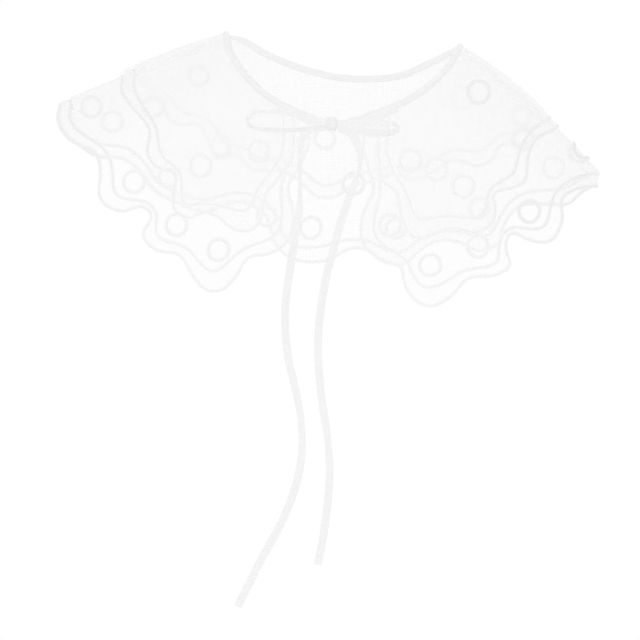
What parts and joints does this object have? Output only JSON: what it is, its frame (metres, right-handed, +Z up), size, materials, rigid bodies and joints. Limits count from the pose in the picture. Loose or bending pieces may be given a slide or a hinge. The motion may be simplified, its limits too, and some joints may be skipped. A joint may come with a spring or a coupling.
{
  "type": "false collar",
  "caption": "Sheer two-tier false collar with scalloped, cord-stitched hems and ring embroidery, folded flat and tied at the front with a narrow ribbon bow.",
  "frame": {"origin": "middle of the laid-out collar on the table, without the ribbon tails", "axes": "+Z up from the table; +Y towards the back of the neck; the tied front and the ribbon tails point to -Y; +X is the right of the picture"},
  "size_m": [0.4072, 0.4325, 0.0152],
  "materials": {
    "organza": "sheer white organza with satin-stitched edge cords",
    "embroidery": "white satin stitch",
    "binding": "folded organza binding",
    "ribbon": "narrow woven ribbon"
  },
  "bodies": {
    "root": {"bow_knot": "ribbon", "bow_loop_left": "ribbon", "bow_loop_right": "ribbon", "lower_tier": "organza", "neck_binding": "binding", "ring_back_lower_01": "embroidery", "ring_back_lower_02": "embroidery", "ring_back_lower_03": "embroidery", "ring_back_lower_04": "embroidery", "ring_back_lower_05": "embroidery", "ring_back_lower_06": "embroidery", "ring_back_lower_07": "embroidery", "ring_back_lower_08": "embroidery", "ring_back_lower_09": "embroidery", "ring_back_lower_10": "embroidery", "ring_back_upper_01": "embroidery", "ring_back_upper_02": "embroidery", "ring_front_lower_01": "embroidery", "ring_front_lower_02": "embroidery", "ring_front_lower_03": "embroidery", "ring_front_lower_04": "embroidery", "ring_front_lower_05": "embroidery", "ring_front_lower_06": "embroidery", "ring_front_lower_07": "embroidery", "ring_front_lower_08": "embroidery", "ring_front_lower_09": "embroidery", "ring_front_lower_10": "embroidery", "ring_front_lower_11": "embroidery", "ring_front_lower_12": "embroidery", "ring_front_upper_01": "embroidery", "ring_front_upper_02": "embroidery", "ring_front_upper_03": "embroidery", "ring_front_upper_04": "embroidery", "ring_front_upper_05": "embroidery", "tail_left": "ribbon", "tail_right": "ribbon", "tail_stub_left": "ribbon", "tail_stub_right": "ribbon", "tie_left": "ribbon", "tie_right": "ribbon", "upper_tier": "organza"}
  },
  "joints": []
}
